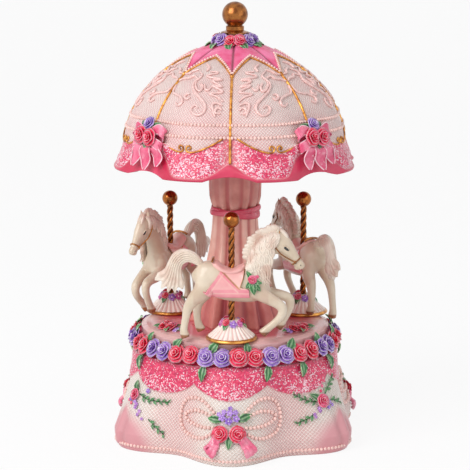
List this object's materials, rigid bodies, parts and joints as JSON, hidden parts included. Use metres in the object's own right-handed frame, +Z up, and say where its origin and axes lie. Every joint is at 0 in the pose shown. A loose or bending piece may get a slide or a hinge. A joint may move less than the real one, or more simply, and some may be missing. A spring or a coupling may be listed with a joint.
{
  "type": "carousel music box",
  "caption": "Wind-up carousel music box: horses on poles round a draped column under a domed canopy, turning on a flared base that holds the movement.",
  "frame": {"origin": "on the turning axis, at the level of the foot of the base", "axes": "+Z up along the turning axis, -Y to the front, where the first horse stands and heads towards +X"},
  "size_m": [0.12, 0.1252, 0.2045],
  "materials": {
    "pink_resin": "hand-painted cast resin, satin gloss",
    "deck_resin": "hand-painted cast resin, satin gloss",
    "drapery_resin": "hand-painted cast resin, satin gloss",
    "horse_resin": "pearl-white painted cast resin, glossy",
    "flower_resin": "hand-painted cast resin, glossy",
    "bow_resin": "hand-painted cast resin, glossy",
    "gold_metal": "bright gilt",
    "bare_steel": "plain steel",
    "yellow_brass": "plain brass",
    "die_casting": "as cast",
    "white_plastic": "moulded, natural",
    "cover_plastic": "moulded, fine matt grain"
  },
  "bodies": {
    "base": {"base_shell": "pink_resin", "rose_garland": "flower_resin", "base_bouquets": "flower_resin", "bottom_cover": "cover_plastic", "cover_screws": "bare_steel", "movement_screws": "bare_steel", "movement_bedplate": "die_casting", "comb": "bare_steel", "comb_screws": "bare_steel", "bearing_bush": "yellow_brass", "thrust_washer": "white_plastic", "governor_bracket": "yellow_brass"},
    "turntable": {"turntable_deck": "deck_resin", "drive_hub": "white_plastic", "drive_shaft": "bare_steel", "spring_barrel": "bare_steel", "great_wheel": "white_plastic", "mainspring": "bare_steel", "deck_flowers": "flower_resin", "column": "drapery_resin", "canopy": "pink_resin", "crown_roses": "flower_resin", "finial": "gold_metal", "pedestal_1": "deck_resin", "pedestal_2": "deck_resin", "pedestal_3": "deck_resin", "horse_pole_1": "gold_metal", "horse_pole_2": "gold_metal", "horse_pole_3": "gold_metal", "pole_ball_1": "gold_metal", "pole_ball_2": "gold_metal", "pole_ball_3": "gold_metal", "horse_1": "horse_resin", "horse_2": "horse_resin", "horse_3": "horse_resin", "canopy_bow_1": "bow_resin", "canopy_bow_2": "bow_resin", "canopy_bow_3": "bow_resin", "canopy_bow_4": "bow_resin"},
    "winding": {"winding_key": "yellow_brass", "winding_arbor": "bare_steel"},
    "drum": {"pinned_drum": "yellow_brass", "drum_arbor": "bare_steel", "drum_pinion": "white_plastic", "drum_gear": "white_plastic"},
    "governor_train": {"train_arbor": "bare_steel", "train_pinion": "yellow_brass", "worm_wheel": "yellow_brass"},
    "fly": {"governor_worm": "white_plastic", "governor_fly": "white_plastic"}
  },
  "joints": [
    {"name": "turntable_spin", "type": "hinge", "parent": "base", "child": "turntable", "pos_m": [0, 0, 0.05], "axis": [0, 0, 1], "continuous": true},
    {"name": "key_turn", "type": "hinge", "parent": "base", "child": "winding", "pos_m": [0, 0, 0.0135], "axis": [0, 0, 1], "continuous": true},
    {"name": "drum_spin", "type": "hinge", "parent": "base", "child": "drum", "pos_m": [0.02, 0, 0.02675], "axis": [1, 0, 0], "continuous": true},
    {"name": "train_spin", "type": "hinge", "parent": "base", "child": "governor_train", "pos_m": [0.0356, 0.0126, 0.02675], "axis": [1, 0, 0], "continuous": true},
    {"name": "fly_spin", "type": "hinge", "parent": "base", "child": "fly", "pos_m": [0.028, 0.0199, 0.02675], "axis": [0, 0, 1], "continuous": true}
  ],
  "couplings": [
    {"joint": "drum_spin", "follows": "turntable_spin", "ratio": 3},
    {"joint": "train_spin", "follows": "turntable_spin", "ratio": -7.5},
    {"joint": "fly_spin", "follows": "turntable_spin", "ratio": 135}
  ]
}
